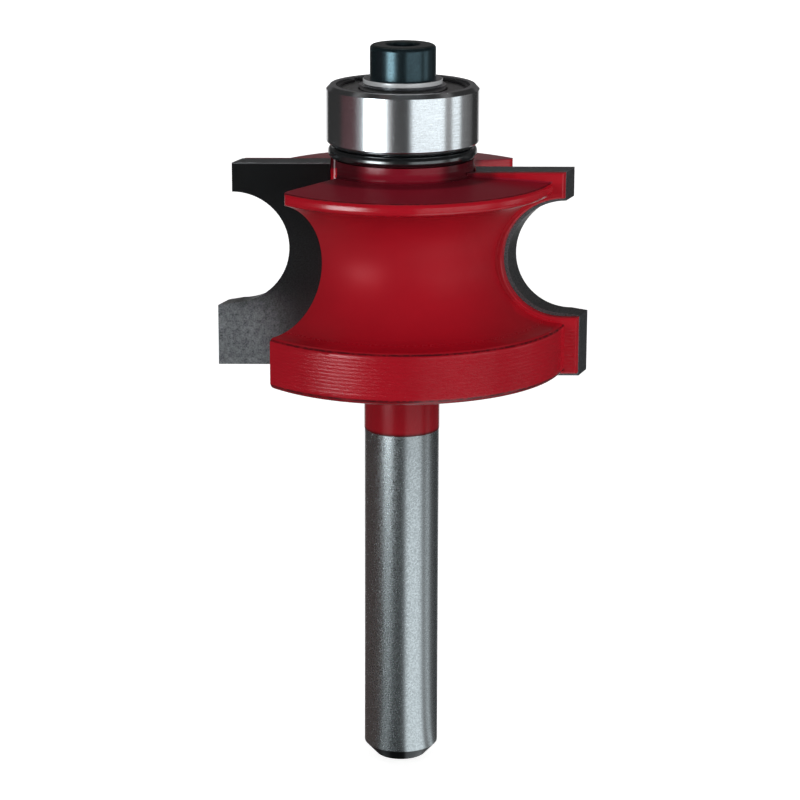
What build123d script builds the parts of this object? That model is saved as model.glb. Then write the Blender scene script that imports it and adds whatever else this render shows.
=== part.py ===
from build123d import *
import math
import os

# Router bit for a half-round edge, with a guide bearing above the cutters.
# The origin is the centre of the shank's end face, and +Z runs along the
# shank to the bearing and its screw. +X points at one carbide tip.

# Shank, and the painted stretch of it under the head
SHANK_DIA = 6.35
SHANK_LENGTH = 35.25
SHANK_CHAMFER_WIDTH = 1.0
SHANK_CHAMFER_LENGTH = 1.1
BARE_LENGTH = 29.65
PAINT_THICKNESS = 0.03
SHOULDER_FILLET = 0.6

# Turned head: flange, cove, rim, sloping top and neck
FLANGE_DIA = 27.9
FLANGE_BOTTOM_ROUND = 0.65
FLANGE_TOP_ROUND = 0.45
COVE_RADIUS = 5.5
WAIST_DIA = 16.76
RIM_DIA = 25.6
RIM_THICKNESS = 0.93
RIM_ROUND = 0.38
RIM_CORNER_ROUND = 1.0
TOP_RISE = 0.56
NECK_DIA = 12.1
NECK_HEIGHT = 1.07
NECK_FILLET = 0.7

# Carbide tips
TIP_COUNT = 2
TIP_THICKNESS = 2.1
TIP_OFFSET = 0.7
TIP_RELIEF_ANGLE = 20.5
TIP_OVERHANG = 0.3
BRAZE_GAP = 0.04
BEAD_RADIUS = 4.7625
LOWER_LIP_RADIUS = 15.6
LOWER_LIP_HEIGHT = 5.16
LOWER_LIP_SLOPE = 0.23
UPPER_LIP_RADIUS = 14.2875
UPPER_LIP_HEIGHT = 2.46

# Backing pads behind the tips
PAD_LENGTH = 0.65
PAD_STEP = 0.04
PAD_BEAD_STEP = 0.26
PAD_DROP = 0.05
PAD_ROUND = 0.15

# Chip gullets in front of the tips
GULLET_FLOOR = 5.4
GULLET_WALL_ANGLE = 41.5
GULLET_WALL_OFFSET = 0.51
GULLET_FACE_ROUND = 0.45
GULLET_ROOT_ROUND = 1.2

# Guide bearing
BEARING_BORE = 4.7625
BEARING_DIA = 12.7
BEARING_WIDTH = 4.978
BEARING_CHAMFER = 0.33
BORE_CHAMFER = 0.2
BALL_DIA = 2.381
BALL_COUNT = 7
RACE_CLEARANCE = 0.05
INNER_LAND_DIA = 7.2
OUTER_LAND_DIA = 10.3
SHIELD_SEAT_DIA = 11.1
SHIELD_THICKNESS = 0.2
SHIELD_DEPTH = 0.35
SHIELD_GAP = 0.12
CLIP_WIDTH = 0.4
CLIP_THICKNESS = 0.2

# Ball cage, pressed from sheet in two halves
CAGE_INNER_DIA = 7.9
CAGE_OUTER_DIA = 9.6
CAGE_SHEET = 0.15
CAGE_CLEARANCE = 0.06

# Pilot post, dust ring, washer and screw
POST_CLEARANCE = 0.01
POST_SETBACK = 0.4
POST_CHAMFER = 0.25
DUST_RING_DIA = 12.4
DUST_RING_HEIGHT = 0.95
DUST_RING_ROUND = 0.4
DUST_RING_RELIEF = 0.1
WASHER_DIA = 6.6
WASHER_THICKNESS = 0.5
WASHER_CLEARANCE = 0.1
WASHER_ROUND = 0.05
WASHER_FOOT_BEVEL = 0.14
SCREW_DIA = 3.0
SCREW_LENGTH = 9.0
SCREW_HEAD_DIA = 5.5
SCREW_HEAD_HEIGHT = 2.8
SCREW_HEAD_ROUND = 0.35
SCREW_POINT_CHAMFER = 0.3
THREAD_CLEARANCE = 0.02
HOLE_RUNOUT = 1.0
HEX_ACROSS_FLATS = 2.5
HEX_DEPTH = 1.4
HEX_MOUTH_CHAMFER = 0.15
DRILL_POINT_ANGLE = 118.0

# Heights, from the shank's end face up
tip_bottom = SHANK_LENGTH - TIP_OVERHANG
lower_lip_top = tip_bottom + LOWER_LIP_HEIGHT
bead_bottom = lower_lip_top + LOWER_LIP_SLOPE
bead_centre = bead_bottom + BEAD_RADIUS
bead_top = bead_centre + BEAD_RADIUS
tip_top = bead_top + UPPER_LIP_HEIGHT
cove_axis_radius = WAIST_DIA / 2 + COVE_RADIUS
flange_inset = cove_axis_radius - FLANGE_DIA / 2
flange_top = bead_centre - math.sqrt(COVE_RADIUS**2 - flange_inset**2)
rim_inset = cove_axis_radius - RIM_DIA / 2
rim_bottom = bead_centre + math.sqrt(COVE_RADIUS**2 - rim_inset**2)
rim_top = rim_bottom + RIM_THICKNESS
cone_top = rim_top + TOP_RISE
neck_top = cone_top + NECK_HEIGHT
ring_top = neck_top + DUST_RING_HEIGHT
bearing_bottom = ring_top + DUST_RING_RELIEF
bearing_middle = bearing_bottom + BEARING_WIDTH / 2
bearing_top = bearing_bottom + BEARING_WIDTH
washer_top = bearing_top + WASHER_THICKNESS
screw_top = washer_top + SCREW_HEAD_HEIGHT

ball_radius = BALL_DIA / 2
pitch_radius = (BEARING_BORE + BEARING_DIA) / 4
relief_shift = math.tan(math.radians(TIP_RELIEF_ANGLE))
pad_back = -TIP_OFFSET - TIP_THICKNESS
pad_front = pad_back - PAD_LENGTH
cut_reach = 2 * LOWER_LIP_RADIUS


def turned(outline):
    """Solid turned about Z from (radius, height) points."""
    profile = make_face(Polyline(*outline, close=True))
    return revolve(Plane.XZ * profile, Axis.Z)


def tube(inner, outer, bottom, top):
    """Plain ring about Z."""
    return turned([(inner, bottom), (outer, bottom), (outer, top), (inner, top)])


def rims_at(solid, radius, height):
    """Circular edges of one radius at one height."""
    return [
        edge
        for edge in solid.edges().filter_by(GeomType.CIRCLE)
        if abs(edge.radius - radius) < 1e-4 and abs(edge.arc_center.Z - height) < 1e-4
    ]


def round_rims(solid, radius, height, size):
    """Round the circular edges of one radius at one height."""
    return fillet(rims_at(solid, radius, height), size)


def bevel_rims(solid, radius, height, size):
    """Chamfer the circular edges of one radius at one height."""
    return chamfer(rims_at(solid, radius, height), size)


def at_each_tip(solid):
    """Copies of a solid turned to each tip's place."""
    return [Rot(0, 0, 360 * index / TIP_COUNT) * solid for index in range(TIP_COUNT)]


def turned_blank():
    """Shank, flange, cove, rim and neck, before the milling."""
    shank = SHANK_DIA / 2
    painted = shank + PAINT_THICKNESS
    flange = FLANGE_DIA / 2
    rim = RIM_DIA / 2
    neck = NECK_DIA / 2
    cove_end = (flange, flange_top)
    cove_waist = (WAIST_DIA / 2, bead_centre)
    cove_start = (rim, rim_bottom)
    outline = Polyline(
        cove_start,
        (rim, rim_top),
        (neck, cone_top),
        (neck, neck_top),
        (0, neck_top),
        (0, 0),
        (shank - SHANK_CHAMFER_WIDTH, 0),
        (shank, SHANK_CHAMFER_LENGTH),
        (shank, BARE_LENGTH),
        (painted, BARE_LENGTH),
        (painted, SHANK_LENGTH),
        (flange, SHANK_LENGTH),
        cove_end,
    )
    cove = ThreePointArc(cove_end, cove_waist, cove_start)
    profile = make_face([outline, cove])
    rounds = {
        (rim, rim_top): RIM_ROUND,
        (rim, rim_bottom): RIM_ROUND,
        (neck, cone_top): NECK_FILLET,
        (painted, SHANK_LENGTH): SHOULDER_FILLET,
        (flange, SHANK_LENGTH): FLANGE_BOTTOM_ROUND,
        (flange, flange_top): FLANGE_TOP_ROUND,
    }
    for (radius, height), size in rounds.items():
        corner = profile.vertices().sort_by_distance((radius, height, 0))[0]
        profile = fillet(corner, size)
    return revolve(Plane.XZ * profile, Axis.Z)


def flat_face(*corners):
    """Flat face from its corners."""
    return make_face(Polyline(*corners, close=True))


def lipped_profile(inner, upper, lower, bottom, ledge, top, bead):
    """Side view of an upper and a lower lip, with the bead cut between them."""
    upper_lip = flat_face((inner, bead_centre), (upper, bead_centre), (upper, top), (inner, top))
    lower_lip = flat_face((inner, bottom), (lower, bottom), (lower, bead_centre), (inner, bead_centre))
    bead_cut = Pos(upper, bead_centre) * Circle(bead)
    ledge_start = (upper, bead_centre - bead)
    ledge_cut = flat_face(ledge_start, (lower, ledge), (lower, bead_centre), (upper, bead_centre))
    return upper_lip + lower_lip - bead_cut - ledge_cut


def tip_profile():
    """Side view of a tip, in the plane of its cutting edge."""
    return lipped_profile(
        inner=NECK_DIA / 2,
        upper=UPPER_LIP_RADIUS,
        lower=LOWER_LIP_RADIUS,
        bottom=tip_bottom,
        ledge=lower_lip_top,
        top=tip_top,
        bead=BEAD_RADIUS,
    )


def pad_profile():
    """Side view of a pad, a little inside the heel of its tip."""
    setback = TIP_THICKNESS * relief_shift + PAD_STEP
    return lipped_profile(
        inner=GULLET_FLOOR,
        upper=UPPER_LIP_RADIUS - setback,
        lower=LOWER_LIP_RADIUS - setback,
        bottom=SHANK_LENGTH,
        ledge=lower_lip_top - PAD_DROP,
        top=tip_top - PAD_DROP,
        bead=BEAD_RADIUS + PAD_BEAD_STEP,
    )


def slanted(profile, start, length):
    """Extrude an XZ profile to the front, at the relief angle."""
    placed = Plane((0, start, 0), x_dir=(1, 0, 0), z_dir=(0, -1, 0)) * profile
    travel = length * math.hypot(1, relief_shift)
    return extrude(placed, amount=travel, dir=(-relief_shift, -1, 0))


def carbide_tip():
    """Right-hand tip: a flat plate, relieved behind its cutting edge."""
    inner = NECK_DIA / 2
    plate = slanted(tip_profile(), -TIP_OFFSET, TIP_THICKNESS)
    height = tip_top - tip_bottom
    keep = Pos(inner + cut_reach / 2, 0, tip_bottom + height / 2) * Box(cut_reach, cut_reach, 2 * height)
    return plate & keep


def tip_seat():
    """Cutter for the step that a tip is brazed into."""
    inner = NECK_DIA / 2 - BRAZE_GAP
    back = -TIP_OFFSET - TIP_THICKNESS - BRAZE_GAP
    corner = Pos(inner, back, tip_bottom - cut_reach / 2)
    size = TIP_THICKNESS + BRAZE_GAP + GULLET_FACE_ROUND
    return corner * Box(cut_reach, size, 2 * cut_reach, align=(Align.MIN, Align.MIN, Align.MIN))


def backing_pad():
    """Raised pad right behind a tip."""
    pad = slanted(pad_profile(), pad_back, PAD_LENGTH)
    edges = [edge for edge in pad.edges() if abs(edge.center().Y - pad_front) < 1e-4]
    return fillet(edges, PAD_ROUND)


def chip_gullet():
    """Cutter for the notch in front of the right-hand tip."""
    angle = math.radians(GULLET_WALL_ANGLE)
    face = -TIP_OFFSET
    wall_at_floor = GULLET_FLOOR * math.tan(angle) - GULLET_WALL_OFFSET / math.cos(angle)
    wall_at_end = cut_reach * math.tan(angle) - GULLET_WALL_OFFSET / math.cos(angle)
    outline = Polyline(
        (GULLET_FLOOR, face),
        (cut_reach, face),
        (cut_reach, wall_at_end),
        (GULLET_FLOOR, wall_at_floor),
        close=True,
    )
    notch = make_face(outline)
    at_face = notch.vertices().sort_by_distance((GULLET_FLOOR, face, 0))[0]
    notch = fillet(at_face, GULLET_FACE_ROUND)
    at_root = notch.vertices().sort_by_distance((GULLET_FLOOR, wall_at_floor, 0))[0]
    notch = fillet(at_root, GULLET_ROOT_ROUND)
    bottom = tip_bottom - TIP_OVERHANG
    return extrude(Pos(0, 0, bottom) * notch, amount=screw_top - bottom)


def rim_corner():
    """Cutter that rounds, seen from above, the rim's corner at the right-hand gullet's wall."""
    rim = RIM_DIA / 2
    across = RIM_CORNER_ROUND - GULLET_WALL_OFFSET
    along = math.sqrt((rim - RIM_CORNER_ROUND) ** 2 - across**2)
    spread = (rim + RIM_CORNER_ROUND) / (rim - RIM_CORNER_ROUND)
    beyond = across - 2 * RIM_CORNER_ROUND
    corner = flat_face(
        (along, across), (along, beyond), (spread * along, beyond), (spread * along, spread * across)
    )
    corner = corner - Pos(along, across) * Circle(RIM_CORNER_ROUND)
    placed = Pos(0, 0, bead_centre) * Rot(0, 0, GULLET_WALL_ANGLE) * corner
    return extrude(placed, amount=cone_top - bead_centre)


def drilled_hole(radius, bottom, top):
    """Cutter for a round hole with a drill point."""
    point = radius / math.tan(math.radians(DRILL_POINT_ANGLE / 2))
    return turned([(0, bottom - point), (radius, bottom), (radius, top), (0, top)])


def cutter_body():
    """Body in one piece, from the shank's end to the pilot post."""
    body = turned_blank()
    for pad in at_each_tip(backing_pad()):
        body = body + pad
    for seat in at_each_tip(tip_seat()):
        body = body - seat
    for gullet in at_each_tip(chip_gullet()):
        body = body - gullet
    for corner in at_each_tip(rim_corner()):
        body = body - corner
    post_radius = BEARING_BORE / 2 - POST_CLEARANCE
    post_top = bearing_top - POST_SETBACK
    post = tube(0, post_radius, neck_top, post_top)
    post = bevel_rims(post, post_radius, post_top, POST_CHAMFER)
    body = body + post
    hole_bottom = washer_top - SCREW_LENGTH - HOLE_RUNOUT
    return body - drilled_hole(SCREW_DIA / 2 + THREAD_CLEARANCE, hole_bottom, post_top)


def dust_ring():
    """Black ring under the bearing, with a hub that meets the inner race."""
    bore = BEARING_BORE / 2
    outer = DUST_RING_DIA / 2
    ring = tube(bore, outer, neck_top, ring_top)
    ring = round_rims(ring, outer, neck_top, DUST_RING_ROUND)
    ring = round_rims(ring, outer, ring_top, DUST_RING_ROUND)
    return ring + tube(bore, INNER_LAND_DIA / 2, neck_top, bearing_bottom)


def race_groove():
    """Round track that both races are ground to."""
    track = Circle(ball_radius + RACE_CLEARANCE)
    return revolve(Plane.XZ * Pos(pitch_radius, bearing_middle) * track, Axis.Z)


def inner_race():
    bore = BEARING_BORE / 2
    ring = tube(bore, INNER_LAND_DIA / 2, bearing_bottom, bearing_top)
    for height in (bearing_bottom, bearing_top):
        ring = bevel_rims(ring, bore, height, BORE_CHAMFER)
    return ring - race_groove()


def outer_race():
    outer = BEARING_DIA / 2
    ring = tube(OUTER_LAND_DIA / 2, outer, bearing_bottom, bearing_top)
    for height in (bearing_bottom, bearing_top):
        ring = bevel_rims(ring, outer, height, BEARING_CHAMFER)
    recess = SHIELD_DEPTH + SHIELD_THICKNESS
    low_seat = tube(0, SHIELD_SEAT_DIA / 2, bearing_bottom, bearing_bottom + recess)
    high_seat = tube(0, SHIELD_SEAT_DIA / 2, bearing_top - recess, bearing_top)
    return ring - race_groove() - low_seat - high_seat


def dust_shield():
    """Pressed shield at the top of the bearing, seated in the outer race."""
    top = bearing_top - SHIELD_DEPTH
    return tube(INNER_LAND_DIA / 2 + SHIELD_GAP, SHIELD_SEAT_DIA / 2, top - SHIELD_THICKNESS, top)


def shield_clip():
    """Snap ring that holds the top shield down."""
    bottom = bearing_top - SHIELD_DEPTH
    outer = SHIELD_SEAT_DIA / 2
    return tube(outer - CLIP_WIDTH, outer, bottom, bottom + CLIP_THICKNESS)


def to_lower_side(solid):
    """Mirror a solid to the other side of the bearing's middle."""
    return mirror(solid, about=Plane.XY.offset(bearing_middle))


def ball_place(index):
    """Centre of one ball in the track."""
    return Rot(0, 0, 360 * index / BALL_COUNT) * Pos(pitch_radius, 0, bearing_middle)


def ball(index):
    """One ball in the track."""
    return ball_place(index) * Sphere(ball_radius)


def cage_half():
    """Upper sheet of the cage, with a dome over each ball."""
    inner = CAGE_INNER_DIA / 2
    outer = CAGE_OUTER_DIA / 2
    pocket = ball_radius + CAGE_CLEARANCE
    band = tube(inner, outer, bearing_middle, bearing_middle + BALL_DIA)
    half = tube(inner, outer, bearing_middle, bearing_middle + CAGE_SHEET)
    for index in range(BALL_COUNT):
        half = half + (ball_place(index) * Sphere(pocket + CAGE_SHEET) & band)
    for index in range(BALL_COUNT):
        half = half - ball_place(index) * Sphere(pocket)
    return half


def head_washer():
    """Washer between the screw head and the inner race, bevelled at its foot."""
    outer = WASHER_DIA / 2
    washer = tube(SCREW_DIA / 2 + WASHER_CLEARANCE, outer, bearing_top, washer_top)
    washer = round_rims(washer, outer, washer_top, WASHER_ROUND)
    return bevel_rims(washer, outer, bearing_top, WASHER_FOOT_BEVEL)


def cap_screw():
    """Socket head cap screw, its thread left plain."""
    head = tube(0, SCREW_HEAD_DIA / 2, washer_top, screw_top)
    head = round_rims(head, SCREW_HEAD_DIA / 2, screw_top, SCREW_HEAD_ROUND)
    stem_end = washer_top - SCREW_LENGTH
    stem = tube(0, SCREW_DIA / 2, stem_end, washer_top)
    stem = bevel_rims(stem, SCREW_DIA / 2, stem_end, SCREW_POINT_CHAMFER)
    floor = screw_top - HEX_DEPTH
    hexagon = RegularPolygon(HEX_ACROSS_FLATS / 2, 6, major_radius=False)
    socket = extrude(Pos(0, 0, floor) * hexagon, amount=HEX_DEPTH)
    corner = HEX_ACROSS_FLATS / math.sqrt(3)
    mouth_size = corner + HEX_MOUTH_CHAMFER
    mouth = Pos(0, 0, screw_top - corner / 2) * Cone(0, mouth_size, mouth_size)
    point = drilled_hole(HEX_ACROSS_FLATS / 2, floor, floor + HEX_DEPTH / 2)
    return head + stem - socket - point - mouth


def save(node, shape):
    export_step(shape, f"parts/{node}.step")


os.makedirs("parts", exist_ok=True)
save("cutter_body", cutter_body())
for number, tip in enumerate(at_each_tip(carbide_tip()), start=1):
    save(f"carbide_tip_{number}", tip)
save("dust_ring", dust_ring())
save("inner_race", inner_race())
save("outer_race", outer_race())
for number in range(BALL_COUNT):
    save(f"ball_{number + 1}", ball(number))
save("cage_upper", cage_half())
save("cage_lower", to_lower_side(cage_half()))
save("shield_upper", dust_shield())
save("shield_lower", to_lower_side(dust_shield()))
save("shield_clip_upper", shield_clip())
save("shield_clip_lower", to_lower_side(shield_clip()))
save("head_washer", head_washer())
save("cap_screw", cap_screw())
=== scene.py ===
"""Router bit with a guide bearing: its looks, its stage and its camera."""

import math

import bmesh
import bpy
from bpy.props import FloatProperty, FloatVectorProperty, IntProperty, PointerProperty
from bpy.types import Operator, Panel, PropertyGroup
from mathutils import Matrix, Vector


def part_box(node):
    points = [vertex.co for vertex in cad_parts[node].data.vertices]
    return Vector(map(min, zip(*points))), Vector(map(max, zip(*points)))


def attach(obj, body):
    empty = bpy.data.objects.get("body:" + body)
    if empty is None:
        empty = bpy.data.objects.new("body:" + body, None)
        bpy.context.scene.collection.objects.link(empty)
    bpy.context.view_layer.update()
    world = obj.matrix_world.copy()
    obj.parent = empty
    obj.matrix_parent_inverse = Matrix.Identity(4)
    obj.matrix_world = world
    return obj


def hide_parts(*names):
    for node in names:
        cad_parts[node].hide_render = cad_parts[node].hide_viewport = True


bl_info = {
    "name": "Router Bit",
    "version": (1, 0, 0),
    "blender": (4, 5, 0),
    "location": "3D View > Sidebar > Router Bit",
    "description": "Finishes a bearing-guided router bit and sets up its studio",
    "category": "Object",
}

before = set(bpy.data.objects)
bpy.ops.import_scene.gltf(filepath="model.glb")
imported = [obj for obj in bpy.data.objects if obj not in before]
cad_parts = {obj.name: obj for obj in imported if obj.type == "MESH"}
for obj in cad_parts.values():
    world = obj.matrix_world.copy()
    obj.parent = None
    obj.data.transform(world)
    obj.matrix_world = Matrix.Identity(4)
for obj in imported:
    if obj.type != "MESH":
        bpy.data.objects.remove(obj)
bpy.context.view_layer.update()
MM = 0.001
SHANK_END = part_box("cutter_body")[0].z


def mm(*sizes):
    """Sizes in metres from millimetres."""
    return tuple(size * MM for size in sizes)


# Where the cutter body's finish changes, by height up the axis. A pair is one soft edge, and four values are
# a zone with a soft edge at either side
CHAMFER = mm(1.02, 1.14)
PAINT_FOOT = 29.95 * MM
FLANGE_UNDERSIDE = mm(35.55, 35.70)
FLANGE_WALL = mm(35.6, 35.9, 39.0, 39.3)
COVE_WALL = mm(39.7, 40.2, 49.9, 50.5)
RIM_WALL = mm(50.5, 50.6, 51.40, 51.45)

# The same by distance: from the axis, from the centre of the cove's arc, up from the sloping top, and from
# the middle planes
TOP_OUTER_EDGE, SLOPE_START, NECK_EDGE = mm(12.7, 12.85), mm(6.6, 7.0), mm(6.8, 7.0)
COVE_SURFACE = mm(5.25, 5.4)
TOP_UNDER, TOP_OVER = mm(-0.2, -0.05), mm(0.1, 0.2)
PAD_SIDE, PAD_START, NECK_CORNER_SHADE = mm(4.2, 4.8), mm(9.0, 9.5), mm(2.6, 4.0)

# Centre of the cove's arc, and the line of the sloping top
COVE_CENTRE_RADIUS, COVE_CENTRE_HEIGHT = mm(13.88, 45.1)
TOP_SLOPE, TOP_APEX = 0.083, 52.487 * MM

# Soft edge and wander of the line where the paint starts
PAINT_EDGE, PAINT_WANDER = mm(0.04, 0.12)

# Thin dark lines of painted shade round the body, broken up by noise: the rim's top edge, the crease over the
# flange and the flange's lower edge
SHADE_LINES = (
    {"radius": 12.57 * MM, "height": 51.44 * MM, "width": 0.13 * MM, "breaks": 0.45},
    {"radius": 13.83 * MM, "height": 39.42 * MM, "width": 0.14 * MM, "breaks": 0.45},
    {"radius": 13.92 * MM, "height": 35.61 * MM, "width": 0.17 * MM, "breaks": 0.5},
)
# Painted shadow: a soft dark band round the foot of the neck, under the dust ring
NECK_FOOT_SHADOW = {"radius": 7.5 * MM, "height": 51.87 * MM, "width": 1.3 * MM, "breaks": 0.0}

# Soft edges on the tips: heights, and distances from the middle planes
LIP_END, UPPER_FACE, TIP_TOP = mm(38.5, 42.5), mm(43.0, 50.5), mm(52.2, 52.3)
TIP_FACE, LIP_OUTWARD = mm(0.71, 0.8), mm(8.5, 13.0)

# Soft edges on the screw and the washer: heights, and distances from the axis
SCREW_CROWN, WASHER_FOOT = mm(62.25, 62.36), mm(59.20, 59.25)
WASHER_WALL = mm(3.23, 3.28)

# Snap rings
CLIP_WIDTH = 0.4 * MM
CLIP_ROUNDING = 0.05 * MM
CLIP_STEPS = 160
SHARP_ANGLE = math.radians(40)

# Studio, in metres
FLOOR_RADIUS, FLOOR_DROP = 3.0, 0.6 * MM
FLOOR_GLOW = (0.25, 0.8)
CARD_DROP, CARD_TOP, CARD_HOLE = 0.3 * MM, 0.4, 0.2 * MM
LAMP_DISTANCE = 0.7
LAMP_AIM = Vector((0, 0, 42 * MM))
CAMERA_PLACE = mm(0, -224.3157, 93.3577)


# Sizes and colours


class PaintSettings(PropertyGroup):
    """Red paint on the cutter body, and the bare steel under it."""

    colour: FloatVectorProperty(
        name="Paint colour", description="Colour of the red paint", subtype="COLOR", size=3,
        min=0, max=1, default=(0.46, 0.0066, 0.0175))
    # Painted shade: the sloping top and the neck darker than the rest of the paint, as faces the low lamps
    # light less
    top_shade_colour: FloatVectorProperty(
        name="Top colour", description="Colour of the paint on the sloping top and the neck", subtype="COLOR",
        size=3, min=0, max=1, default=(0.35, 0.0125, 0.031))
    # Painted shade: colour of the dark lines along turned edges and the crease, of the neck's darker sides
    # and of the shadow at the neck's foot
    painted_shade_colour: FloatVectorProperty(
        name="Worn colour", description="Colour of the thin dark line along turned edges", subtype="COLOR",
        size=3, min=0, max=1, default=(0.045, 0.004, 0.007))
    steel_colour: FloatVectorProperty(
        name="Steel colour", description="Colour of the bare shank", subtype="COLOR", size=3,
        min=0, max=1, default=(0.55, 0.578, 0.592))
    chamfer_colour: FloatVectorProperty(
        name="Chamfer colour", description="Colour of the chamfer at the shank's end", subtype="COLOR",
        size=3, min=0, max=1, default=(0.012, 0.012, 0.013))
    paint_line: FloatProperty(
        name="Paint line", description="Height up the shank at which the paint starts", unit="LENGTH",
        default=29.62 * MM)
    gloss_roughness: FloatProperty(
        name="Gloss roughness", description="Roughness of the paint on the lands", min=0, max=1, default=0.19)
    cove_roughness: FloatProperty(
        name="Cove roughness", description="Roughness of the paint in the cove", min=0, max=1, default=0.45)
    rim_roughness: FloatProperty(
        name="Rim roughness", description="Roughness of the paint on the rim", min=0, max=1, default=0.10)
    slope_roughness: FloatProperty(
        name="Slope roughness", description="Roughness of the paint on the sloping top", min=0, max=1,
        default=0.32)
    neck_roughness: FloatProperty(
        name="Neck roughness", description="Roughness of the paint on the neck", min=0, max=1, default=0.20)
    line_spacing: FloatProperty(
        name="Turning line spacing", description="Distance between the lathe lines on the flange",
        unit="LENGTH", default=0.30 * MM)
    line_depth: FloatProperty(
        name="Turning line depth", description="Depth of the lathe lines on the flange", unit="LENGTH",
        default=0.0040 * MM)
    peel_depth: FloatProperty(
        name="Paint texture depth", description="Depth of the fine texture in the paint", unit="LENGTH",
        default=0.0022 * MM)


class MetalSettings(PropertyGroup):
    """Carbide tips, bearing, dust ring, washer and screw."""

    carbide_colour: FloatVectorProperty(
        name="Carbide colour", description="Colour of the ground carbide", subtype="COLOR", size=3,
        min=0, max=1, default=(0.235, 0.24, 0.25))
    bearing_colour: FloatVectorProperty(
        name="Bearing colour", description="Colour of the polished bearing steel", subtype="COLOR", size=3,
        min=0, max=1, default=(0.84, 0.85, 0.87))
    shield_colour: FloatVectorProperty(
        name="Shield colour", description="Colour of the pressed shields", subtype="COLOR", size=3,
        min=0, max=1, default=(0.85, 0.84, 0.84))
    # Dark spring steel, dark also as painted shade of the groove over the shield
    clip_colour_and_shade: FloatVectorProperty(
        name="Snap ring colour", description="Colour of the dark spring steel of the snap rings",
        subtype="COLOR", size=3, min=0, max=1, default=(0.13, 0.13, 0.14))
    cage_colour: FloatVectorProperty(
        name="Cage colour", description="Colour of the pressed ball cage", subtype="COLOR", size=3,
        min=0, max=1, default=(0.5, 0.5, 0.49))
    washer_colour: FloatVectorProperty(
        name="Washer colour", description="Colour of the bright washer", subtype="COLOR", size=3,
        min=0, max=1, default=(0.9, 0.925, 0.94))
    # Painted light: the screw's top face paler than its oxide
    crown_light_colour: FloatVectorProperty(
        name="Crown colour", description="Colour of the screw's rubbed top face", subtype="COLOR", size=3,
        min=0, max=1, default=(0.13, 0.15, 0.15))
    screw_colour: FloatVectorProperty(
        name="Screw colour", description="Colour of the black oxide on the screw", subtype="COLOR", size=3,
        min=0, max=1, default=(0.046, 0.080, 0.094))
    ring_colour: FloatVectorProperty(
        name="Dust ring colour", description="Colour of the black dust ring", subtype="COLOR", size=3,
        min=0, max=1, default=(0.006, 0.008, 0.009))
    clip_gap: FloatProperty(
        name="Snap ring gap", description="Angle between the ends of a snap ring", subtype="ANGLE",
        default=math.radians(9))
    clip_turn: FloatProperty(
        name="Snap ring turn", description="Direction of the upper snap ring's gap", subtype="ANGLE",
        default=math.radians(137))


class StudioSettings(PropertyGroup):
    """Floor, lamps and reflection cards."""

    key_power: FloatProperty(
        name="Left lamp", description="Power of the lamp at the front left", unit="POWER", default=2.15)
    side_power: FloatProperty(
        name="Right lamp", description="Power of the lamp at the front right", unit="POWER", default=2.47)
    back_power: FloatProperty(
        name="Back lamp", description="Power of the lamp behind", unit="POWER", default=2.6)
    top_power: FloatProperty(
        name="Top lamp", description="Power of the lamp overhead", unit="POWER", default=0.12)
    fill: FloatProperty(
        name="Fill", description="Strength of the even light from all round", min=0, default=0.15)
    card_strength: FloatProperty(
        name="Card strength", description="Brightness of the lit cards in reflections", min=0, default=2.2)
    card_radius: FloatProperty(
        name="Card radius", description="Distance of the cards from the bit", unit="LENGTH", default=0.3)
    steps: IntProperty(
        name="Card steps", description="Flat panels in the ring of cards", min=16, default=72)


# Shader building blocks


def put(tree, kind, inputs=None, **settings):
    """Add a node, set it up, and feed its inputs with values or links."""
    node = tree.nodes.new(kind)
    for name, value in settings.items():
        setattr(node, name, value)
    for key, value in (inputs or {}).items():
        if isinstance(value, bpy.types.NodeSocket):
            tree.links.new(value, node.inputs[key])
        else:
            node.inputs[key].default_value = value
    return node


def maths(tree, operation, *values, clamp=False):
    """Output of a Math node."""
    node = put(tree, "ShaderNodeMath", dict(enumerate(values)), operation=operation, use_clamp=clamp)
    return node.outputs[0]


def ease(tree, value, low, high, start=0.0, end=1.0):
    """Value eased from start at low to end at high."""
    inputs = {"Value": value, "From Min": low, "From Max": high, "To Min": start, "To Max": end}
    return put(tree, "ShaderNodeMapRange", inputs, interpolation_type="SMOOTHSTEP").outputs[0]


def fade(tree, value, low, high):
    """1 up to low, eased to 0 at high."""
    return ease(tree, value, low, high, 1.0, 0.0)


def times(tree, first, *rest):
    """Product of some numbers."""
    for value in rest:
        first = maths(tree, "MULTIPLY", first, value)
    return first


def most(tree, first, *rest):
    """Largest of some numbers."""
    for value in rest:
        first = maths(tree, "MAXIMUM", first, value)
    return first


def between(tree, value, start, full, fall, end):
    """1 from full to fall, eased to 0 at start and at end."""
    return times(tree, ease(tree, value, start, full), fade(tree, value, fall, end))


def blended(tree, mask, first, second):
    """Colour mixed from first to second by a mask."""
    inputs = {0: mask, 6: first, 7: second}
    return put(tree, "ShaderNodeMix", inputs, data_type="RGBA", clamp_factor=True).outputs[2]


def graded(tree, mask, first, second):
    """Number mixed from first to second by a mask."""
    return put(tree, "ShaderNodeMix", {0: mask, 2: first, 3: second}, clamp_factor=True).outputs[0]


def length(tree, across, up):
    """Length of an offset from its two parts."""
    offset = put(tree, "ShaderNodeCombineXYZ", {"X": across, "Y": up}).outputs[0]
    return put(tree, "ShaderNodeVectorMath", {0: offset}, operation="LENGTH").outputs["Value"]


def object_place(tree):
    """Place on the object, in metres."""
    return put(tree, "ShaderNodeTexCoord").outputs["Object"]


def split(tree, place):
    """X, Y and Z of a place."""
    return put(tree, "ShaderNodeSeparateXYZ", {0: place}).outputs


def noise(tree, place, scale, detail, roughness=0.5):
    """Smooth random value round 0.5."""
    inputs = {"Vector": place, "Scale": scale, "Detail": detail, "Roughness": roughness}
    return put(tree, "ShaderNodeTexNoise", inputs).outputs[0]


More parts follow.
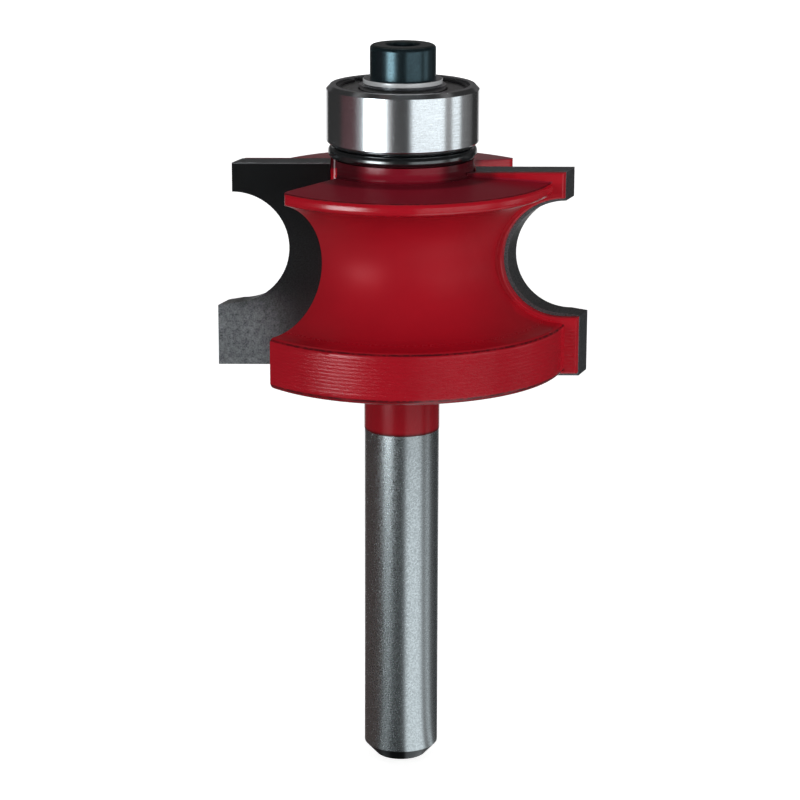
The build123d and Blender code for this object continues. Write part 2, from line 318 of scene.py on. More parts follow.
def new_group(name, numbers, outputs):
    """Empty shader group with named number inputs and outputs."""
    group = bpy.data.node_groups.new(name, "ShaderNodeTree")
    for label, default in numbers.items():
        socket = group.interface.new_socket(name=label, in_out="INPUT", socket_type="NodeSocketFloat")
        socket.default_value = default
    for label in outputs:
        group.interface.new_socket(name=label, in_out="OUTPUT", socket_type="NodeSocketFloat")
    return group, group.nodes.new("NodeGroupInput"), group.nodes.new("NodeGroupOutput")


def speckle_group():
    """Fine random grain, from 0 to 1."""
    group, given, result = new_group("Speckle", {"Grain": 0.1 * MM, "Contrast": 1.0}, ["Value"])
    scale = maths(group, "DIVIDE", 1.0, given.outputs["Grain"])
    grain = noise(group, object_place(group), scale, 2.0, 0.6)
    centred = maths(group, "SUBTRACT", grain, 0.5)
    stretched = maths(group, "MULTIPLY_ADD", centred, given.outputs["Contrast"], 0.5, clamp=True)
    group.links.new(stretched, result.inputs["Value"])
    return group


def turning_group():
    """Lathe or grinding lines round the Z axis: an even wave and uneven streaks, each from -1 to 1."""
    wobble_scale, wobble_depth = 700.0, 1.5
    round_share, radius_share, streaks_per_line = 0.06, 0.8, 1.6
    group, given, result = new_group("Turning lines", {"Spacing": 0.3 * MM}, ["Wave", "Streaks"])
    place = object_place(group)
    x, y, height = split(group, place)
    turns = maths(group, "DIVIDE", height, given.outputs["Spacing"])
    wobble = times(group, noise(group, place, wobble_scale, 1.0), wobble_depth)
    phase = maths(group, "MULTIPLY_ADD", turns, 2 * math.pi, wobble)
    group.links.new(maths(group, "SINE", phase), result.inputs["Wave"])
    along = maths(group, "MULTIPLY_ADD", length(group, x, y), radius_share, height)
    sides = [times(group, side, round_share) for side in (x, y)]
    squeezed = put(group, "ShaderNodeCombineXYZ", {"X": sides[0], "Y": sides[1], "Z": along}).outputs[0]
    scale = maths(group, "DIVIDE", streaks_per_line, given.outputs["Spacing"])
    streaks = noise(group, squeezed, scale, 2.0)
    group.links.new(maths(group, "MULTIPLY_ADD", streaks, 2.0, -1.0), result.inputs["Streaks"])
    return group


def ring_line_group():
    """Mask of a thin line round the Z axis, at one radius and height, broken up by noise."""
    solid_share, breaks_scale, break_levels = 0.35, 2600.0, (0.42, 0.62)
    numbers = {"Radius": 10 * MM, "Height": 0.0, "Width": 0.1 * MM, "Breaks": 0.5}
    group, given, result = new_group("Ring line", numbers, ["Mask"])
    place = object_place(group)
    x, y, height = split(group, place)
    across = maths(group, "SUBTRACT", length(group, x, y), given.outputs["Radius"])
    up = maths(group, "SUBTRACT", height, given.outputs["Height"])
    solid = times(group, given.outputs["Width"], solid_share)
    line = fade(group, length(group, across, up), solid, given.outputs["Width"])
    breaks = ease(group, noise(group, place, breaks_scale, 3.0), *break_levels)
    kept = maths(group, "SUBTRACT", 1.0, times(group, breaks, given.outputs["Breaks"]))
    group.links.new(times(group, line, kept), result.inputs["Mask"])
    return group


GROUPS = {"Speckle": speckle_group, "Turning lines": turning_group, "Ring line": ring_line_group}


def use(tree, name, **numbers):
    """Outputs of a shared group, placed with its own numbers. The group is built when it is first used."""
    group = bpy.data.node_groups.get(name) or GROUPS[name]()
    inputs = {label.capitalize(): value for label, value in numbers.items()}
    return put(tree, "ShaderNodeGroup", inputs, node_tree=group).outputs


def opened(material):
    """Node tree of a material, and its Principled BSDF."""
    return material.node_tree, material.node_tree.nodes["Principled BSDF"]


def new_material(name, **values):
    """Material with a Principled BSDF. The values go to its sockets."""
    material = bpy.data.materials.new(name)
    material.use_nodes = True
    tree, shader = opened(material)
    for label, value in values.items():
        shader.inputs[label.replace("_", " ").title()].default_value = value
    return material, tree, shader


def bumped(tree, shader, height):
    """Drive the shader's normal from a height in metres."""
    bump = put(tree, "ShaderNodeBump", {"Height": height, "Strength": 1.0, "Distance": 1.0})
    tree.links.new(bump.outputs[0], shader.inputs["Normal"])


def rgba(colour, factor=1.0):
    """Four numbers from a colour setting."""
    return (*(channel * factor for channel in colour), 1.0)


def grey(level):
    """Four numbers for a grey."""
    return (level, level, level, 1.0)


def shaded(tree, mask, colour, low, high):
    """Colour whose brightness runs from low to high times its own."""
    return blended(tree, mask, rgba(colour, low), rgba(colour, high))


def layered(tree, colour, *layers):
    """Colour with (mask, colour) layers laid over it in turn."""
    for mask, layer in layers:
        colour = blended(tree, mask, colour, layer)
    return colour


def levelled(tree, number, *layers):
    """Number with (mask, number) layers laid over it in turn."""
    for mask, layer in layers:
        number = graded(tree, mask, number, layer)
    return number


# Finishes


def cove_mask(tree, radius, height):
    """1 on the hollow of the cove, and 0 on the pads, the lands and the rest."""
    across = maths(tree, "SUBTRACT", radius, COVE_CENTRE_RADIUS)
    up = maths(tree, "SUBTRACT", height, COVE_CENTRE_HEIGHT)
    surface = ease(tree, length(tree, across, up), *COVE_SURFACE)
    return times(tree, between(tree, height, *COVE_WALL), surface)


def top_mask(tree, radius, height):
    """1 on the sloping top and the neck, and 0 on the pads that stand above it and the rest."""
    above = maths(tree, "SUBTRACT", maths(tree, "MULTIPLY_ADD", radius, TOP_SLOPE, height), TOP_APEX)
    inside = times(tree, fade(tree, radius, *TOP_OUTER_EDGE), fade(tree, above, *TOP_OVER))
    return times(tree, ease(tree, above, *TOP_UNDER), most(tree, inside, fade(tree, radius, *NECK_EDGE)))


def body_zones(tree, paint_line):
    """Masks of the cutter body's zones, by name."""
    drip_scale, foot_strength, corner_shade_strength = 900.0, 0.95, 0.85
    place = object_place(tree)
    x, y, height = split(tree, place)
    radius = length(tree, x, y)
    outward, sideways = maths(tree, "ABSOLUTE", x), maths(tree, "ABSOLUTE", y)
    ragged = maths(tree, "MULTIPLY_ADD", noise(tree, place, drip_scale, 1.0), PAINT_WANDER, height)
    edge = paint_line + PAINT_EDGE
    top = top_mask(tree, radius, height)
    slope = times(tree, top, ease(tree, radius, *SLOPE_START))
    neck = maths(tree, "SUBTRACT", top, slope)
    return {
        "paint": ease(tree, ragged, edge, edge + PAINT_EDGE),
        "chamfer": fade(tree, height, *CHAMFER),
        "foot": ease(tree, height, PAINT_FOOT, edge, 0.0, foot_strength),
        "stretch": fade(tree, height, *FLANGE_UNDERSIDE),
        "flange": between(tree, height, *FLANGE_WALL),
        "cove": cove_mask(tree, radius, height),
        "rim": between(tree, height, *RIM_WALL),
        "pads": times(tree, fade(tree, sideways, *PAD_SIDE), ease(tree, outward, *PAD_START)),
        "top": top,
        "slope": slope,
        "neck": neck,
        # Painted shade: the neck darker towards its sides, next to the pads
        "corners": times(tree, neck, ease(tree, outward, *NECK_CORNER_SHADE, 0.0, corner_shade_strength)),
    }


def body_colour(tree, settings, zones, grain):
    """Red with painted light and shade by zone, and painted shade along thin lines, over ground steel."""
    cloud_scale, shade_line_strength, neck_foot_shadow_strength = 160.0, 0.85, 0.65
    stretch_shadow, pad_light, neck_painted_shade, rim_light, foot_shade = 0.74, 1.2, 0.8, 1.12, 0.14
    clouds = ease(tree, noise(tree, object_place(tree), cloud_scale, 3.0), 0.3, 0.7)
    red = shaded(tree, clouds, settings.colour, 0.95, 1.05)
    # Painted shade along the rim's top edge, the crease over the flange and the flange's lower edge
    lines = most(tree, *(use(tree, "Ring line", **line)["Mask"] for line in SHADE_LINES))
    # Painted shadow at the neck's foot
    neck_foot_shadow = use(tree, "Ring line", **NECK_FOOT_SHADOW)["Mask"]
    painted_shade = rgba(settings.painted_shade_colour)
    red = layered(
        tree, red,
        # Painted shadow of the flange on the painted stretch of the shank
        (zones["stretch"], rgba(settings.colour, stretch_shadow)),
        # Painted light: the pads lighter than the rest of the paint
        (zones["pads"], rgba(settings.colour, pad_light)),
        # Painted shade on the sloping top, and deeper on the neck under the dust ring
        (zones["top"], rgba(settings.top_shade_colour)),
        (zones["neck"], rgba(settings.top_shade_colour, neck_painted_shade)),
        # Painted shade on the neck's sides
        (zones["corners"], painted_shade),
        # Painted light: the rim lighter than the rest of the paint
        (zones["rim"], rgba(settings.colour, rim_light)),
        (times(tree, lines, shade_line_strength), painted_shade),
        (times(tree, neck_foot_shadow, neck_foot_shadow_strength), painted_shade),
        (zones["foot"], rgba(settings.colour, foot_shade)),
    )
    steel = shaded(tree, grain, settings.steel_colour, 0.80, 1.12)
    steel = blended(tree, zones["chamfer"], steel, rgba(settings.chamfer_colour))
    return blended(tree, zones["paint"], steel, red)


def body_roughness(tree, settings, zones, grain):
    """Roughness of the ground steel, and of the paint in each zone."""
    steel_rough, steel_smooth, chamfer, paint_grain = 0.34, 0.22, 0.42, 0.07
    steel = graded(tree, grain, steel_rough, steel_smooth)
    steel = graded(tree, zones["chamfer"], steel, chamfer)
    gloss = settings.gloss_roughness
    paint = levelled(
        tree, graded(tree, grain, gloss + paint_grain, gloss),
        (zones["cove"], settings.cove_roughness),
        (zones["rim"], settings.rim_roughness),
        (zones["slope"], settings.slope_roughness),
        (zones["neck"], settings.neck_roughness),
    )
    return graded(tree, zones["paint"], steel, paint)


def body_relief(tree, settings, zones, grain):
    """Height of lathe lines and texture in the paint, or of the grinding on bare steel."""
    smooth_depth, rim_share = 0.0008 * MM, 2.6
    grain_depth, streak_depth = 0.0012 * MM, 0.0006 * MM
    marks = use(tree, "Turning lines", spacing=settings.line_spacing)
    lathe = times(tree, marks["Wave"], zones["flange"], settings.line_depth)
    peel = use(tree, "Speckle", grain=0.13 * MM, contrast=1.6)["Value"]
    broken = times(tree, lathe, ease(tree, peel, 0.35, 0.75, 0.1, 1.9))
    depth = graded(tree, most(tree, zones["cove"], zones["slope"]), settings.peel_depth, smooth_depth)
    texture = times(tree, peel, depth, graded(tree, zones["rim"], 1.0, rim_share))
    ground = maths(tree, "MULTIPLY_ADD", marks["Streaks"], streak_depth, times(tree, grain, grain_depth))
    return graded(tree, zones["paint"], ground, maths(tree, "ADD", broken, texture))


def body_finish(settings):
    """Red paint over ground steel, duller in the cove, with a dark chamfered end."""
    specular, calm_specular = 0.5, 0.32
    material, tree, shader = new_material("Painted cutter body")
    zones = body_zones(tree, settings.paint_line)
    grain = use(tree, "Speckle", grain=0.16 * MM, contrast=2.6)["Value"]
    calm = most(tree, zones["cove"], zones["flange"], zones["top"])
    tree.links.new(body_colour(tree, settings, zones, grain), shader.inputs["Base Color"])
    tree.links.new(maths(tree, "SUBTRACT", 1.0, zones["paint"]), shader.inputs["Metallic"])
    tree.links.new(body_roughness(tree, settings, zones, grain), shader.inputs["Roughness"])
    tree.links.new(graded(tree, calm, specular, calm_specular), shader.inputs["Specular IOR Level"])
    bumped(tree, shader, body_relief(tree, settings, zones, grain))
    return material


def carbide_finish(settings):
    """Ground carbide: grainy, with a face that darkens towards its top, partly as painted shade, and lightens
    and coarsens towards the lower lip.
    """
    grain_depth, mark_depth = 0.0015 * MM, 0.0005 * MM
    material, tree, shader = new_material("Ground carbide", Metallic=0.85)
    x, y, height = split(tree, object_place(tree))
    outward, sideways = maths(tree, "ABSOLUTE", x), maths(tree, "ABSOLUTE", y)
    fine = use(tree, "Speckle", grain=0.14 * MM, contrast=3.2)["Value"]
    coarse = use(tree, "Speckle", grain=0.42 * MM, contrast=2.6)["Value"]
    mottle = maths(tree, "MULTIPLY_ADD", fine, 0.5, times(tree, coarse, 0.5))
    colour = settings.carbide_colour
    inner = shaded(tree, fine, colour, 0.30, 0.48)
    lip = shaded(tree, mottle, colour, 0.6, 2.6)
    # The face darkens upward from the lower lip to near black at its top: partly the carbide's own tone and
    # grain, partly painted shade
    face = layered(
        tree, inner,
        (ease(tree, outward, *LIP_OUTWARD), lip),
        (ease(tree, height, *LIP_END), shaded(tree, fine, colour, 0.16, 0.24)),
        (ease(tree, height, *UPPER_FACE), rgba(colour, 0.09)),
    )
    mixed = layered(
        tree, shaded(tree, fine, colour, 0.55, 1.1),
        (fade(tree, sideways, *TIP_FACE), face),
        (ease(tree, height, *TIP_TOP), rgba(colour, 1.5)),
    )
    tree.links.new(mixed, shader.inputs["Base Color"])
    tree.links.new(graded(tree, fine, 0.48, 0.34), shader.inputs["Roughness"])
    marks = use(tree, "Turning lines", spacing=0.12 * MM)["Streaks"]
    bumped(tree, shader, maths(tree, "MULTIPLY_ADD", marks, mark_depth, times(tree, fine, grain_depth)))
    return material


def turned_steel_finish(name, colour, smooth, rough, grain_size, spacing, depth):
    """Steel with fine lines round its axis and a little grain."""
    mark_share = 0.6
    material, tree, shader = new_material(name, Metallic=1.0)
    grain = use(tree, "Speckle", grain=grain_size, contrast=2.4)["Value"]
    marks = use(tree, "Turning lines", spacing=spacing)["Streaks"]
    shade = maths(tree, "MULTIPLY_ADD", grain, 0.5, times(tree, ease(tree, marks, -0.5, 0.5), 0.5))
    tree.links.new(shaded(tree, shade, colour, 0.84, 1.06), shader.inputs["Base Color"])
    tree.links.new(graded(tree, shade, rough, smooth), shader.inputs["Roughness"])
    bumped(tree, shader, maths(tree, "MULTIPLY_ADD", marks, depth * mark_share, times(tree, grain, depth)))
    return material


def oxide_finish(name, colour, metallic, smooth, rough):
    """Black oxide or rubber-black coat, faintly mottled."""
    cloud_strength, grain_depth = 0.35, 0.0012 * MM
    material, tree, shader = new_material(name, Metallic=metallic)
    grain = use(tree, "Speckle", grain=0.13 * MM, contrast=1.8)["Value"]
    clouds = use(tree, "Speckle", grain=0.9 * MM, contrast=2.2)["Value"]
    mixed = shaded(tree, grain, colour, 0.7, 1.25)
    mixed = blended(tree, times(tree, clouds, cloud_strength), mixed, rgba(colour, 0.55))
    tree.links.new(mixed, shader.inputs["Base Color"])
    tree.links.new(graded(tree, grain, rough, smooth), shader.inputs["Roughness"])
    bumped(tree, shader, times(tree, grain, grain_depth))
    return material


def dust_ring_finish(settings):
    """Glossy black on the dust ring."""
    black = oxide_finish("Black dust ring", settings.ring_colour, metallic=0.0, smooth=0.13, rough=0.22)
    shader = opened(black)[1]
    shader.inputs["Specular IOR Level"].default_value = 1.0
    shader.inputs["IOR"].default_value = 1.75
    return black


def screw_finish(settings):
    """Black oxide on the screw, with painted light making its top face paler."""
    oxide = oxide_finish("Black oxide screw", settings.screw_colour, metallic=0.80, smooth=0.19, rough=0.27)
    tree, shader = opened(oxide)
    height = split(tree, object_place(tree))["Z"]
    coat = shader.inputs["Base Color"].links[0].from_socket
    # Painted light on the top face
    mixed = blended(tree, ease(tree, height, *SCREW_CROWN), coat, rgba(settings.crown_light_colour))
    tree.links.new(mixed, shader.inputs["Base Color"])
    return oxide


def washer_finish(settings):
    """Bright metal on the washer, less so on its upright edge, which would mirror the bearing's dark top."""
    edge_metallic = 0.25
    zinc = turned_steel_finish(
        "Bright washer", settings.washer_colour, smooth=0.16, rough=0.26, grain_size=0.16 * MM,
        spacing=0.1 * MM, depth=0.0012 * MM)
    tree, shader = opened(zinc)
    x, y, height = split(tree, object_place(tree))
    wall = times(tree, ease(tree, length(tree, x, y), *WASHER_WALL), ease(tree, height, *WASHER_FOOT))
    tree.links.new(graded(tree, wall, 1.0, edge_metallic), shader.inputs["Metallic"])
    return zinc


def dress(material, *nodes):
    """Give CAD nodes a finish."""
    for name in nodes:
        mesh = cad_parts[name].data
        mesh.materials.clear()
        mesh.materials.append(material)


# Mesh building blocks


def piece(name, mesh, material):
    """Object at the origin from a finished bmesh."""
    bmesh.ops.recalc_face_normals(mesh, faces=mesh.faces)
    data = bpy.data.meshes.new(name)
    mesh.to_mesh(data)
    mesh.free()
    data.materials.append(material)
    data.shade_smooth()
    made = bpy.data.objects.new(name, data)
    bpy.context.scene.collection.objects.link(made)
    return made


def outline(mesh, points, closed):
    """Vertices and edges through (radius, height) points in the XZ plane."""
    corners = [mesh.verts.new((radius, 0, height)) for radius, height in points]
    ends = corners[1:] + corners[:1] if closed else corners[1:]
    return corners + [mesh.edges.new(pair) for pair in zip(corners, ends)]


def snap_ring(name, inner, outer, low, high, gap, turn, material):
    """Open ring of square wire with rounded edges and two plain ends."""
    mesh = bmesh.new()
    outline(mesh, [(inner, low), (outer, low), (outer, high), (inner, high)], closed=True)
    mesh.faces.new(mesh.verts)
    bmesh.ops.bevel(
        mesh, geom=list(mesh.verts), offset=CLIP_ROUNDING, segments=3, profile=0.5, affect="VERTICES",
        material=-1)
    bmesh.ops.rotate(mesh, verts=mesh.verts, matrix=Matrix.Rotation(turn + gap / 2, 3, "Z"))
    bmesh.ops.spin(
        mesh, geom=list(mesh.faces), axis=(0, 0, 1), cent=(0, 0, 0), angle=2 * math.pi - gap,
        steps=CLIP_STEPS, use_duplicate=False)
    made = piece(name, mesh, material)
    made.data.set_sharp_from_angle(angle=SHARP_ANGLE)
    return made


# Operators


class ROUTERBIT_OT_body(Operator):
    """Paint the cutter body and grind its shank."""

    bl_idname = "router_bit.body"
    bl_label = "Cutter Body"

    def execute(self, context):
        dress(body_finish(context.scene.router_bit_paint), "cutter_body")
        return {"FINISHED"}


class ROUTERBIT_OT_tips(Operator):
    """Finish the two carbide tips."""

    bl_idname = "router_bit.tips"
    bl_label = "Carbide Tips"

    def execute(self, context):
        dress(carbide_finish(context.scene.router_bit_metal), "carbide_tip_1", "carbide_tip_2")
        return {"FINISHED"}


class ROUTERBIT_OT_races(Operator):
    """Polish the bearing's races and balls, and finish its cage."""

    bl_idname = "router_bit.races"
    bl_label = "Bearing Races"

    def execute(self, context):
        metal = context.scene.router_bit_metal
        polished = turned_steel_finish(
            "Polished bearing steel", metal.bearing_colour, smooth=0.13, rough=0.20, grain_size=0.15 * MM,
            spacing=0.1 * MM, depth=0.0009 * MM)
        dress(polished, "inner_race", "outer_race", *(f"ball_{number}" for number in range(1, 8)))
        pressed = turned_steel_finish(
            "Pressed cage steel", metal.cage_colour, smooth=0.3, rough=0.42, grain_size=0.2 * MM,
            spacing=0.2 * MM, depth=0.001 * MM)
        dress(pressed, "cage_upper", "cage_lower")
        return {"FINISHED"}


class ROUTERBIT_OT_shields(Operator):
    """Finish the bearing's shields, and fit a split snap ring over each."""

    bl_idname = "router_bit.shields"
    bl_label = "Shields and Snap Rings"

    def execute(self, context):
        metal = context.scene.router_bit_metal
        satin = turned_steel_finish(
            "Satin shield steel", metal.shield_colour, smooth=0.26, rough=0.4, grain_size=0.18 * MM,
            spacing=0.14 * MM, depth=0.001 * MM)
        dress(satin, "shield_upper", "shield_lower")
        # Dark spring steel, partly painted shade of the groove over the shield
        spring = turned_steel_finish(
            "Dark spring steel", metal.clip_colour_and_shade, smooth=0.2, rough=0.35, grain_size=0.1 * MM,
            spacing=0.1 * MM, depth=0.001 * MM)
        for side, turn in (("upper", metal.clip_turn), ("lower", -metal.clip_turn)):
            low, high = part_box(f"shield_clip_{side}")
            ring = snap_ring(
                f"snap_ring_{side}", high.x - CLIP_WIDTH, high.x, low.z, high.z, metal.clip_gap, turn, spring)
            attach(ring, "bearing_outer")
            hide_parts(f"shield_clip_{side}")
        return {"FINISHED"}


class ROUTERBIT_OT_dust_ring(Operator):
    """Finish the black ring under the bearing."""

    bl_idname = "router_bit.dust_ring"
    bl_label = "Dust Ring"

    def execute(self, context):
        dress(dust_ring_finish(context.scene.router_bit_metal), "dust_ring")
        return {"FINISHED"}


class ROUTERBIT_OT_screw(Operator):
    """Finish the cap screw and its washer."""

    bl_idname = "router_bit.screw"
    bl_label = "Cap Screw and Washer"

    def execute(self, context):
        metal = context.scene.router_bit_metal
        dress(screw_finish(metal), "cap_screw")
        dress(washer_finish(metal), "head_washer")
        return {"FINISHED"}


# Stage


def lamp(name, power, azimuth, elevation, width, height):
    """Soft rectangular lamp that looks at the head, by degrees round from the camera's side and up."""
    across, up = math.radians(azimuth), math.radians(elevation)
    back = Vector((math.sin(across) * math.cos(up), -math.cos(across) * math.cos(up), math.sin(up)))
    light = bpy.data.lights.new(name, "AREA")
    light.shape = "RECTANGLE"
    light.size, light.size_y = width, height
    light.energy = power
    made = bpy.data.objects.new(name, light)
    made.location = LAMP_AIM + back * LAMP_DISTANCE
    made.rotation_euler = (-back).to_track_quat("-Z", "Y").to_euler()
    made.visible_glossy = False
    bpy.context.scene.collection.objects.link(made)


def background_ray(tree):
    """1 for camera, glossy and transmission rays, and 0 for the rest."""
    path = put(tree, "ShaderNodeLightPath").outputs
    seen = maths(tree, "ADD", path["Is Camera Ray"], path["Is Glossy Ray"])
    return maths(tree, "ADD", seen, path["Is Transmission Ray"], clamp=True)


def floor_finish():
    """White floor that keeps a soft shadow."""
    material, tree, shader = new_material("White floor", Roughness=0.9)
    grain = use(tree, "Speckle", grain=2 * MM, contrast=1.0)["Value"]
    tree.links.new(blended(tree, grain, grey(0.79), grey(0.81)), shader.inputs["Base Color"])
    shader.inputs["Specular IOR Level"].default_value = 0.0
    shader.inputs["Emission Color"].default_value = (1, 1, 1, 1)
    away = put(tree, "ShaderNodeVectorMath", {0: object_place(tree)}, operation="LENGTH").outputs["Value"]
    glow = ease(tree, away, *FLOOR_GLOW, 0.80, 1.0)
    tree.links.new(times(tree, background_ray(tree), glow), shader.inputs["Emission Strength"])
    return material


# Lit and dark stretches of the cards, by degrees round from the camera's side, with brightness and tint
PLAIN, COOL, WARM = (1.0, 1.0, 1.0), (0.92, 1.0, 1.03), (1.35, 0.75, 0.82)
DARK = 0.0155
CARDS = (
    (-180, DARK, PLAIN), (-177, 0.35, PLAIN), (-158, 0.35, PLAIN), (-153, DARK, PLAIN), (-108, DARK, PLAIN),
    (-100, 0.028, WARM), (-77, 0.035, WARM), (-61, 0.16, COOL), (-57, 0.9, COOL), (-53, 3.2, COOL),
    (-34, 3.2, COOL), (-28, 0.9, COOL), (-22, 0.22, PLAIN), (-14, 0.03, PLAIN), (9, 0.03, PLAIN),
    (15, 0.57, COOL), (63, 0.58, COOL), (67, 0.14, PLAIN), (77, 0.14, PLAIN), (80, 0.5, COOL),
    (93, 0.5, COOL), (98, 0.10, PLAIN), (120, 0.06, PLAIN), (130, DARK, PLAIN), (153, DARK, PLAIN),
    (158, 0.35, PLAIN), (177, 0.35, PLAIN), (180, DARK, PLAIN),
)

# Where the light of the cards changes: distances and heights in metres, and directions in radians round
# from the camera's side
LEFT_TABLE, LEFT_GLINT = (0.14, 0.27), (0.215, 0.24, 0.265, 0.285)
RIGHT_TABLE_NEAR, RIGHT_TABLE_FAR = (0.10, 0.125), (0.20, 0.28)
RIGHT_SIDE, FRONT_MIDDLE, REAR = (1.03, 1.13), (-0.1, 0.1), (2.45, 2.55)
UNDER_DISC, UNDER_LEFT = (0.11, 0.14), (-1.2, -0.8)
LIT_HEIGHT, BAND_ABOVE, CEILING = (0.035, 0.085), (0.085, 0.095, 0.14, 0.16), (0.39, 0.40)
CEILING_BEHIND, OVERHEAD_CENTRE, OVERHEAD_PATCH = (0.03, 0.06), 0.025, (0.03, 0.055)

# Faint colours of the cards outside their lit stretches
UNDER_WARM, UNDER_COOL = (0.040, 0.032, 0.031, 1.0), (0.028, 0.030, 0.031, 1.0)
ABOVE_COLOUR = (0.042, 0.041, 0.042, 1.0)
CEILING_LEVEL, OVERHEAD_LEVEL = 0.07, 0.25


def card_stretches(tree, turned):
    """Colour of the lit and dark stretches, by direction."""
    share = maths(tree, "MULTIPLY_ADD", turned, 1 / (2 * math.pi), 0.5)
    ramp = put(tree, "ShaderNodeValToRGB", {0: share})
    stops = ramp.color_ramp.elements
    while len(stops) < len(CARDS):
        stops.new(0.5)
    for stop, (degrees, level, tint) in zip(stops, CARDS):
        stop.position = degrees / 360 + 0.5
        stop.color = (*(level * channel for channel in tint), 1.0)
    return ramp.outputs[0]


def card_reach(tree, turned, radius, height):
    """Strength of the lit stretches: full low on the upright cards, and less on the table but for a glint."""
    left_near, glint, side_share, right_near, right_middle = 0.035, 1.3, 0.68, 0.85, 0.03
    left = ease(tree, radius, *LEFT_TABLE, left_near, 1.0)
    left = maths(tree, "MULTIPLY_ADD", between(tree, radius, *LEFT_GLINT), glint, left)
    far = ease(tree, radius, *RIGHT_TABLE_FAR)
    side = graded(tree, far, ease(tree, turned, *RIGHT_SIDE, 1.0, side_share), 1.0)
    near = ease(tree, radius, *RIGHT_TABLE_NEAR, right_near, right_middle)
    right = times(tree, side, most(tree, near, far))
    front = graded(tree, ease(tree, turned, *FRONT_MIDDLE), left, right)
    behind = ease(tree, maths(tree, "ABSOLUTE", turned), *REAR)
    return times(tree, fade(tree, height, *LIT_HEIGHT), graded(tree, behind, front, 1.0))


def card_gloom(tree, turned, radius, x, y, height):
    """Faint light of the rest: the table under the bit, a band above the lit cards, and the ceiling."""
    under = blended(tree, ease(tree, turned, *UNDER_LEFT), UNDER_WARM, UNDER_COOL)
    ceiling = ease(tree, height, *CEILING)
    beyond = maths(tree, "SUBTRACT", y, OVERHEAD_CENTRE)
    return layered(
        tree, under,
        (ease(tree, radius, *UNDER_DISC), grey(DARK)),
        (between(tree, height, *BAND_ABOVE), ABOVE_COLOUR),
        (times(tree, ease(tree, y, *CEILING_BEHIND), ceiling), grey(CEILING_LEVEL)),
        (times(tree, fade(tree, length(tree, x, beyond), *OVERHEAD_PATCH), ceiling), grey(OVERHEAD_LEVEL)),
    )


def card_finish(strength):
    """Bright and dark stretches round the bit, seen only in reflections."""
    material = bpy.data.materials.new("Reflection cards")
    material.use_nodes = True
    tree = material.node_tree
    tree.nodes.clear()
    x, y, height = split(tree, object_place(tree))
    radius = length(tree, x, y)
    turned = maths(tree, "ARCTAN2", x, times(tree, y, -1.0))
    inputs = {0: card_stretches(tree, turned), "Scale": card_reach(tree, turned, radius, height)}
    faded = put(tree, "ShaderNodeVectorMath", inputs, operation="SCALE").outputs[0]
    inputs = {0: faded, 1: card_gloom(tree, turned, radius, x, y, height)}
    lit = put(tree, "ShaderNodeVectorMath", inputs, operation="MAXIMUM").outputs[0]
    glow = put(tree, "ShaderNodeEmission", {"Color": lit, "Strength": strength})
    result = put(tree, "ShaderNodeOutputMaterial")
    tree.links.new(glow.outputs[0], result.inputs["Surface"])
    material.cycles.emission_sampling = "NONE"
    return material


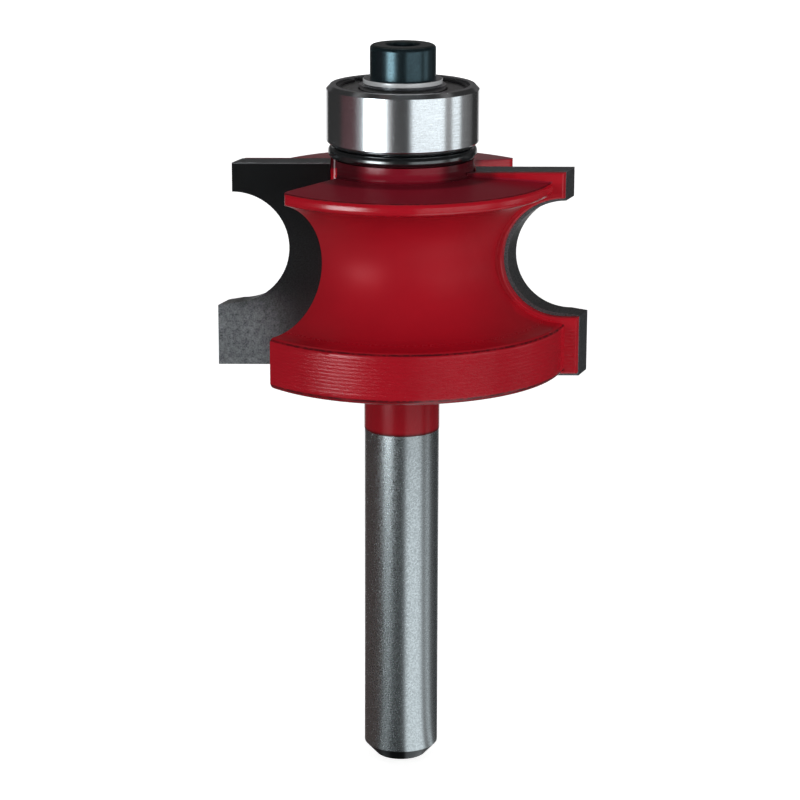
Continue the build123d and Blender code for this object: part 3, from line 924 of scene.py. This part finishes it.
class ROUTERBIT_OT_stage(Operator):
    """Set up the floor, reflection cards, lamps, world and camera."""

    bl_idname = "router_bit.stage"
    bl_label = "Stage"

    def execute(self, context):
        studio = context.scene.router_bit_studio
        self.floor()
        self.cards(studio)
        lamp("Left lamp", studio.key_power, azimuth=-48, elevation=8, width=0.30, height=0.45)
        lamp("Right lamp", studio.side_power, azimuth=49, elevation=8, width=0.40, height=0.45)
        lamp("Back lamp", studio.back_power, azimuth=180, elevation=4, width=0.70, height=0.40)
        lamp("Top lamp", studio.top_power, azimuth=0, elevation=80, width=0.5, height=0.5)
        self.world(context.scene, studio.fill)
        self.camera(context.scene)
        context.scene.view_settings.view_transform = "Standard"
        return {"FINISHED"}

    def floor(self):
        """Round white floor, just under the shank's end."""
        mesh = bmesh.new()
        bmesh.ops.create_circle(mesh, cap_ends=True, segments=96, radius=FLOOR_RADIUS)
        bmesh.ops.translate(mesh, verts=mesh.verts, vec=(0, 0, SHANK_END - FLOOR_DROP))
        piece("floor", mesh, floor_finish())

    def cards(self, studio):
        """Table card, upright cards and ceiling card, spun from one line that stops short of the axis."""
        mesh = bmesh.new()
        low, wide = SHANK_END - CARD_DROP, studio.card_radius
        line = [(CARD_HOLE, low), (wide, low), (wide, CARD_TOP), (CARD_HOLE, CARD_TOP)]
        bmesh.ops.spin(
            mesh, geom=outline(mesh, line, closed=False), axis=(0, 0, 1), cent=(0, 0, 0), angle=2 * math.pi,
            steps=studio.steps, use_merge=True)
        cards = piece("reflection_cards", mesh, card_finish(studio.card_strength))
        cards.visible_camera = False
        cards.visible_diffuse = False
        cards.visible_shadow = False

    def world(self, scene, fill):
        """Even fill light, and plain white where it is seen."""
        world = bpy.data.worlds.new("Studio")
        world.use_nodes = True
        tree = world.node_tree
        tree.nodes.clear()
        strength = graded(tree, background_ray(tree), fill, 1.0)
        glow = put(tree, "ShaderNodeBackground", {"Color": (1, 1, 1, 1), "Strength": strength})
        result = put(tree, "ShaderNodeOutputWorld")
        tree.links.new(glow.outputs[0], result.inputs["Surface"])
        scene.world = world

    def camera(self, scene):
        """Camera at the photograph's distance, height and tilt."""
        data = bpy.data.cameras.new("Camera")
        data.sensor_width = 36.0
        data.lens = 122.77
        data.clip_start, data.clip_end = 0.01, 20.0
        tilt, roll, swing = 0.266992, 0.0028727, -0.00073267
        ahead = Vector((math.sin(swing) * math.cos(tilt), math.cos(swing) * math.cos(tilt), -math.sin(tilt)))
        level = Vector((math.cos(swing), -math.sin(swing), 0))
        upright = level.cross(ahead)
        right = math.cos(roll) * level + math.sin(roll) * upright
        up = -math.sin(roll) * level + math.cos(roll) * upright
        made = bpy.data.objects.new("Camera", data)
        turned = Matrix((right, up, -ahead)).transposed().to_4x4()
        made.matrix_world = Matrix.Translation(CAMERA_PLACE) @ turned
        scene.collection.objects.link(made)
        scene.camera = made


STEPS = (
    ROUTERBIT_OT_body,
    ROUTERBIT_OT_tips,
    ROUTERBIT_OT_races,
    ROUTERBIT_OT_shields,
    ROUTERBIT_OT_dust_ring,
    ROUTERBIT_OT_screw,
    ROUTERBIT_OT_stage,
)


class ROUTERBIT_PT_panel(Panel):
    """Steps that finish the router bit, in order."""

    bl_idname = "ROUTERBIT_PT_panel"
    bl_label = "Router Bit"
    bl_space_type = "VIEW_3D"
    bl_region_type = "UI"
    bl_category = "Router Bit"

    def draw(self, context):
        for step in STEPS:
            self.layout.operator(step.bl_idname)


CLASSES = (PaintSettings, MetalSettings, StudioSettings, *STEPS, ROUTERBIT_PT_panel)


def register():
    for cls in CLASSES:
        bpy.utils.register_class(cls)
    bpy.types.Scene.router_bit_paint = PointerProperty(type=PaintSettings)
    bpy.types.Scene.router_bit_metal = PointerProperty(type=MetalSettings)
    bpy.types.Scene.router_bit_studio = PointerProperty(type=StudioSettings)


def unregister():
    del bpy.types.Scene.router_bit_studio
    del bpy.types.Scene.router_bit_metal
    del bpy.types.Scene.router_bit_paint
    for cls in reversed(CLASSES):
        bpy.utils.unregister_class(cls)


def main():
    """Register the tools and run each step."""
    register()
    bpy.ops.router_bit.body()
    bpy.ops.router_bit.tips()
    bpy.ops.router_bit.races()
    bpy.ops.router_bit.shields()
    bpy.ops.router_bit.dust_ring()
    bpy.ops.router_bit.screw()
    bpy.ops.router_bit.stage()


if __name__ == "__main__":
    main()
